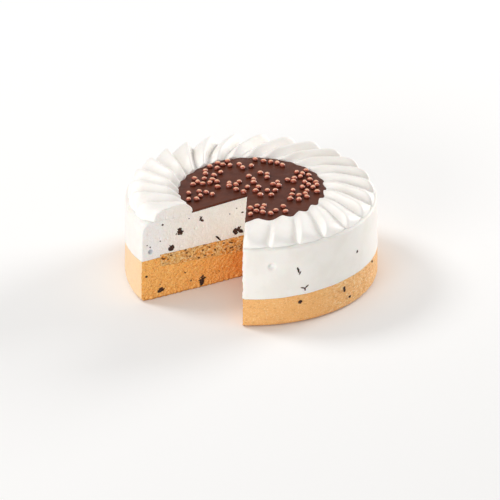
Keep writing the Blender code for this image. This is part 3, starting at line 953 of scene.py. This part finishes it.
def chip_solid():
    """Bits set flush into the faces, cut flat like them, with angular outlines."""
    points, faces = ball()
    solid = Solid()
    for i, (face, along, level, long, wide, lean) in enumerate((*CHIPS, *scattered_chips())):
        jagged = 1.0 + 0.45 * wobble(points, 0.8, i + 3) + 0.34 * wobble(points, 0.4, i + 5)
        growth = CUT_CHIP_GROWTH if face == LEFT and long > LONG_CHIP else CHIP_GROWTH
        own = growth * points * jagged[:, None] * (long / 2, 0.5 + 0.2 * wide, wide / 2)
        angle = math.radians(lean)
        u = own[:, 0] * math.cos(angle) - own[:, 2] * math.sin(angle)
        v = own[:, 0] * math.sin(angle) + own[:, 2] * math.cos(angle)
        out = way_out(face, along)
        across = np.array((-out[1], out[0], 0.0))
        depth = np.where(own[:, 1] > 0, 0.22 * own[:, 1], own[:, 1])
        solid.add(place_on(face, along, level) + u[:, None] * across + v[:, None] * (0, 0, 1)
                  + depth[:, None] * out, faces, SIDE)
    solid.weld()
    return solid


def tone(code):
    """Colour for a shader from a six-digit screen colour."""
    shares = [int(code[i:i + 2], 16) / 255 for i in (0, 2, 4)]
    return (*(c / 12.92 if c <= 0.04045 else ((c + 0.055) / 1.055) ** 2.4 for c in shares), 1.0)


class Finish:
    """Material whose colour and relief come from textures laid out in the piece's own space."""

    def __init__(self, name, color, **sockets):
        self.material = bpy.data.materials.new(name)
        self.material.use_nodes = True
        self.tree = self.material.node_tree
        self.shader = self.tree.nodes["Principled BSDF"]
        for socket, value in sockets.items():
            self.shader.inputs[socket.replace("_", " ")].default_value = value
        self.shader.inputs["Base Color"].default_value = tone(color)
        self.color = None
        self.first = tone(color)
        self.place = self.node("ShaderNodeTexCoord").outputs["Object"]

    def node(self, kind, **settings):
        made = self.tree.nodes.new(kind)
        for key, value in settings.items():
            setattr(made, key, value)
        return made

    def link(self, source, target):
        self.tree.links.new(source, target)

    def texture(self, kind, size, shift):
        """Texture of a size in millimetres, which may differ by axis."""
        mapping = self.node("ShaderNodeMapping")
        sizes = size if isinstance(size, tuple) else (size,) * 3
        mapping.inputs["Scale"].default_value = [1000.0 / own for own in sizes]
        mapping.inputs["Location"].default_value = (shift, shift, shift)
        self.link(self.place, mapping.inputs["Vector"])
        made = self.node(kind)
        made.inputs["Scale"].default_value = 1.0
        self.link(mapping.outputs["Vector"], made.inputs["Vector"])
        return made

    def clouds(self, size, detail=3.0, shift=0.0):
        made = self.texture("ShaderNodeTexNoise", size, shift)
        made.inputs["Detail"].default_value = detail
        return made.outputs["Fac"]

    def cells(self, size, shift):
        return self.texture("ShaderNodeTexVoronoi", size, shift).outputs["Distance"]

    def compared(self, operation, vector):
        """Vector operation on the place and a fixed vector."""
        made = self.node("ShaderNodeVectorMath", operation=operation)
        made.inputs[1].default_value = vector
        self.link(self.place, made.inputs[0])
        return made

    def upward(self, vector):
        split = self.node("ShaderNodeSeparateXYZ")
        self.link(vector, split.inputs[0])
        return split.outputs["Z"]

    def towards(self, azimuth):
        """Distance from the middle towards an azimuth, in metres."""
        return self.compared('DOT_PRODUCT', (*direction(azimuth), 0.0)).outputs["Value"]

    def facing_up(self):
        """How far the surface faces up, from -1 to 1."""
        return self.upward(self.node("ShaderNodeNewGeometry").outputs["Normal"])

    def around(self, point):
        """Distance from a point given in millimetres, in metres."""
        return self.compared('DISTANCE', 0.001 * point).outputs["Value"]

    def height(self):
        return self.upward(self.place)

    def share(self, value, low, high, top=1.0):
        """Share from 0 to the top one, as a value runs from low to high."""
        ranged = self.node("ShaderNodeMapRange", interpolation_type='SMOOTHSTEP')
        for socket, number in zip(("From Min", "From Max", "To Min", "To Max"), (low, high, 0.0, top)):
            ranged.inputs[socket].default_value = number
        self.link(value, ranged.inputs["Value"])
        return ranged.outputs["Result"]

    def off_axis(self):
        """Distance from the cake's upright axis, in metres."""
        flat = self.compared('MULTIPLY', (1.0, 1.0, 0.0))
        length = self.node("ShaderNodeVectorMath", operation='LENGTH')
        self.link(flat.outputs["Vector"], length.inputs[0])
        return length.outputs["Value"]

    def both(self, one, other):
        product = self.node("ShaderNodeMath", operation='MULTIPLY')
        self.link(one, product.inputs[0])
        self.link(other, product.inputs[1])
        return product.outputs["Value"]

    def tint(self, share, color):
        """Lay a colour over what is there, as much as the share says."""
        mix = self.node("ShaderNodeMix", data_type='RGBA')
        if self.color is None:
            mix.inputs[6].default_value = self.first
        else:
            self.link(self.color, mix.inputs[6])
        mix.inputs[7].default_value = tone(color)
        self.link(share, mix.inputs[0])
        self.color = mix.outputs[2]
        self.link(self.color, self.shader.inputs["Base Color"])

    def mottle(self, color, size, low, high, top, detail=3.0, shift=0.0):
        """Lay a colour over the piece in clouds of a size."""
        self.tint(self.share(self.clouds(size, detail, shift), low, high, top), color)

    def surface(self, grain, depth, sheen, smooth, rough, detail=3.0):
        """Give the material fine relief, of a depth in millimetres, and an uneven gloss."""
        bump = self.node("ShaderNodeBump")
        bump.inputs["Strength"].default_value = 1.0
        bump.inputs["Distance"].default_value = depth * 0.001
        self.link(self.clouds(grain, detail), bump.inputs["Height"])
        self.link(bump.outputs["Normal"], self.shader.inputs["Normal"])
        ranged = self.node("ShaderNodeMapRange")
        ranged.inputs["To Min"].default_value = smooth
        ranged.inputs["To Max"].default_value = rough
        self.link(self.clouds(sheen), ranged.inputs["Value"])
        self.link(ranged.outputs["Result"], self.shader.inputs["Roughness"])
        return self.material


def caramel_side():
    finish = Finish("caramel_side", "F0B46C", Subsurface_Weight=0.12, Subsurface_Scale=0.002)
    finish.mottle("E5A560", 9.0, 0.35, 0.70, 0.35, detail=4.0)
    finish.mottle("FFDDAA", 0.9, 0.50, 0.70, 0.50, detail=2.0, shift=3.0)
    finish.mottle("C8853F", (2.2, 2.2, 1.1), 0.54, 0.72, 0.50, detail=2.0, shift=8.0)
    # Painted light: the side is paler towards the left, where the key light falls on it.
    finish.tint(finish.share(finish.towards(198.0), 0.078, 0.090, 0.7), "F7D9B2")
    scraped = finish.share(finish.towards(SCRAPED_AZIMUTH), 0.078, 0.087)
    light = finish.share(finish.clouds((2.4, 2.4, 1.1), shift=12.0), 0.50, 0.66, 0.60)
    dark = finish.share(finish.clouds((2.8, 2.8, 1.2), shift=17.0), 0.54, 0.68, 0.50)
    finish.tint(finish.both(scraped, light), "FFE3B4")
    finish.tint(finish.both(scraped, dark), "B9752F")
    # Painted shade: darker along the foot, where the cake meets the floor.
    finish.tint(finish.share(finish.height(), 0.0016, 0.0, 0.5), "B9783A")
    return finish.surface(0.9, 0.35, 4.0, 0.36, 0.60)


def caramel_cut():
    finish = Finish("caramel_cut", "F6B35C", Subsurface_Weight=0.10, Subsurface_Scale=0.0015)
    finish.tint(finish.share(finish.towards(LEFT_CUT - 180.0), -0.060, 0.004, 0.85), "E8903A")
    finish.mottle("FFD08A", (1.4, 1.4, 0.9), 0.48, 0.66, 0.65)
    finish.mottle("C26F26", 1.4, 0.52, 0.70, 0.65, shift=5.0)
    # Painted shade: darker along the foot, where the cut meets the floor.
    finish.tint(finish.share(finish.height(), 0.0014, 0.0, 0.7), "A8662A")
    return finish.surface(0.9, 0.55, 3.0, 0.55, 0.8)


def sponge_finish():
    finish = Finish("sponge_crumb", "E2B470", Specular_IOR_Level=0.3)
    finish.mottle("EDA24A", (7.0, 7.0, 4.0), 0.42, 0.60, 0.9)
    finish.tint(finish.share(finish.towards(LEFT_CUT - 180.0), -0.050, 0.010, 0.6), "E79A40")
    finish.mottle("F3D7A6", 1.6, 0.48, 0.62, 0.7, shift=2.0)
    finish.mottle("AC6C2E", (2.2, 2.2, 1.4), 0.54, 0.66, 0.75, shift=6.0)
    # Dark spots: partly darker crumbs, partly painted shade in the holes of the crumb.
    finish.tint(finish.share(finish.cells((4.0, 4.0, 2.6), 1.0), 0.33, 0.18, 0.9), "5A2E12")
    return finish.surface(1.1, 0.6, 2.0, 0.75, 0.95, detail=4.0)


def vanilla_side():
    finish = Finish("vanilla_side", "F1EDE7", Subsurface_Weight=0.15, Subsurface_Scale=0.003)
    finish.mottle("E9E4DC", 16.0, 0.40, 0.70, 0.6)
    finish.mottle("E2DDD6", 2.2, 0.60, 0.80, 0.25, shift=4.0)
    # Painted shade: grey-blue in the hollow in the side.
    finish.tint(finish.share(finish.around(place_on(SIDE, *SIDE_HOLLOW)), 0.0030, 0.0012, 0.45), "C9CCD3")
    return finish.surface(1.1, 0.05, 5.0, 0.42, 0.60)


def vanilla_cut():
    finish = Finish("vanilla_cut", "F3EEE7", Subsurface_Weight=0.12, Subsurface_Scale=0.0025)
    finish.tint(finish.share(finish.off_axis(), 0.060, 0.084), "F0EFEE")
    finish.mottle("EDE6DB", 5.0, 0.45, 0.70, 0.45, detail=4.0)
    finish.mottle("DDD3C5", 1.0, 0.58, 0.74, 0.40, shift=4.0)
    finish.mottle("FBF7F0", 1.3, 0.52, 0.70, 0.50, shift=9.0)
    # Painted shade: grey-blue in the pit in the left cut.
    finish.tint(finish.share(finish.around(place_on(LEFT, *CUT_PIT)), 0.0024, 0.0012, 0.9), "A9AFB8")
    return finish.surface(1.0, 0.25, 3.0, 0.50, 0.72)


def cream_finish():
    finish = Finish("cream_piped", "F9F5F0", Subsurface_Weight=0.06, Subsurface_Scale=0.003)
    finish.mottle("F3EDE4", 12.0, 0.40, 0.70, 0.4)
    finish.mottle("EAE3D8", 2.5, 0.60, 0.80, 0.2, shift=5.0)
    return finish.surface(1.6, 0.05, 6.0, 0.38, 0.55)


def chocolate_finish():
    finish = Finish("chocolate_glaze_satin", "60301F", Specular_IOR_Level=0.22)
    finish.mottle("4C261B", 10.0, 0.40, 0.70, 0.6)
    finish.mottle("653D31", 1.2, 0.55, 0.78, 0.35, shift=2.0)
    return finish.surface(3.0, 0.08, 5.0, 0.30, 0.45)


def pearl_finish():
    finish = Finish("pearl_shell", "5A1C10", Coat_Weight=0.5, Coat_Roughness=0.14)
    # Painted light and shade: the pearls are dark where they face sideways and down, and lighter where they
    # face up.
    up = finish.facing_up()
    finish.tint(finish.share(up, 0.05, 0.85), "C95E3C")
    finish.mottle("A8472E", 7.0, 0.45, 0.70, 0.4, detail=1.0)
    finish.mottle("D97E5A", 0.8, 0.52, 0.75, 0.3, shift=3.0)
    # Painted highlight on the very top of each pearl.
    finish.tint(finish.share(up, 0.70, 0.98), "FFC49E")
    finish.mottle("9C4A32", 1.0, 0.60, 0.80, 0.5, shift=7.0)
    return finish.surface(0.5, 0.10, 2.0, 0.30, 0.48)


def chip_finish():
    finish = Finish("chip_chocolate", "2E170F", Specular_IOR_Level=0.35)
    finish.mottle("6B4230", 1.1, 0.54, 0.70, 0.8)
    finish.mottle("96705A", 0.9, 0.58, 0.70, 0.8, shift=4.0)
    return finish.surface(0.6, 0.20, 1.0, 0.50, 0.75)


def put_in_scene(item):
    bpy.context.scene.collection.objects.link(item)


def add_piece(name, solid, materials, node=None):
    piece = bpy.data.objects.new(name, solid.mesh(name))
    for material in materials:
        piece.data.materials.append(material)
    put_in_scene(piece)
    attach(piece, "root")
    if node is not None:
        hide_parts(node)


def add_cake():
    white_cut = vanilla_cut()
    add_piece("caramel_body", caramel_solid(), (caramel_side(), caramel_cut()), "caramel_layer")
    crumb = sponge_finish()
    add_piece("sponge_body", sponge_solid(), (crumb, crumb), "sponge_disc")
    add_piece("vanilla_body", vanilla_solid(), (vanilla_side(), white_cut), "vanilla_layer")
    add_piece("cream_petals", cream_solid(), (cream_finish(), white_cut), "cream_ring")
    add_piece("glaze_pool", glaze_solid(), (chocolate_finish(),), "chocolate_glaze")
    add_piece("crunchy_pearls", pearl_solid(), (pearl_finish(),))
    add_piece("chocolate_chips", chip_solid(), (chip_finish(),))


def add_floor():
    form = bmesh.new()
    bmesh.ops.create_grid(form, x_segments=2, y_segments=2, size=FLOOR_SIZE)
    mesh = bpy.data.meshes.new("floor")
    form.to_mesh(mesh)
    form.free()
    floor = bpy.data.objects.new("floor", mesh)
    finish = Finish("floor_pale", "F8F7F6", Roughness=0.9, Specular_IOR_Level=0.1)
    floor.data.materials.append(finish.material)
    floor.location.z = FLOOR_LEVEL
    put_in_scene(floor)


def add_light(name, azimuth, elevation, size, power):
    """Round soft light, turned to the cake."""
    data = bpy.data.lights.new(name, 'AREA')
    data.shape = 'DISK'
    data.size = size
    data.energy = power
    lamp = bpy.data.objects.new(name, data)
    rise = math.radians(elevation)
    lamp.location = LIGHT_DISTANCE * Vector((*(math.cos(rise) * direction(azimuth)), math.sin(rise)))
    lamp.rotation_euler = (-lamp.location).to_track_quat('-Z', 'Y').to_euler()
    put_in_scene(lamp)


def add_studio():
    world = bpy.data.worlds.new("studio")
    bpy.context.scene.world = world
    world.use_nodes = True
    sky = world.node_tree.nodes["Background"]
    sky.inputs["Color"].default_value = SKY_COLOR
    sky.inputs["Strength"].default_value = SKY_STRENGTH
    for light in LIGHTS:
        add_light(*light)
    bpy.context.scene.view_settings.view_transform = 'Standard'
    data = bpy.data.cameras.new("camera")
    data.lens = CAMERA_LENS
    data.sensor_width = 36.0
    data.shift_x, data.shift_y = CAMERA_SHIFT
    camera = bpy.data.objects.new("camera", data)
    tilt = math.radians(CAMERA_ELEVATION)
    camera.location = (0.0, -CAMERA_DISTANCE * math.cos(tilt), CAMERA_DISTANCE * math.sin(tilt))
    camera.rotation_euler = (math.pi / 2 - tilt, 0.0, 0.0)
    put_in_scene(camera)
    bpy.context.scene.camera = camera


add_cake()
add_floor()
add_studio()
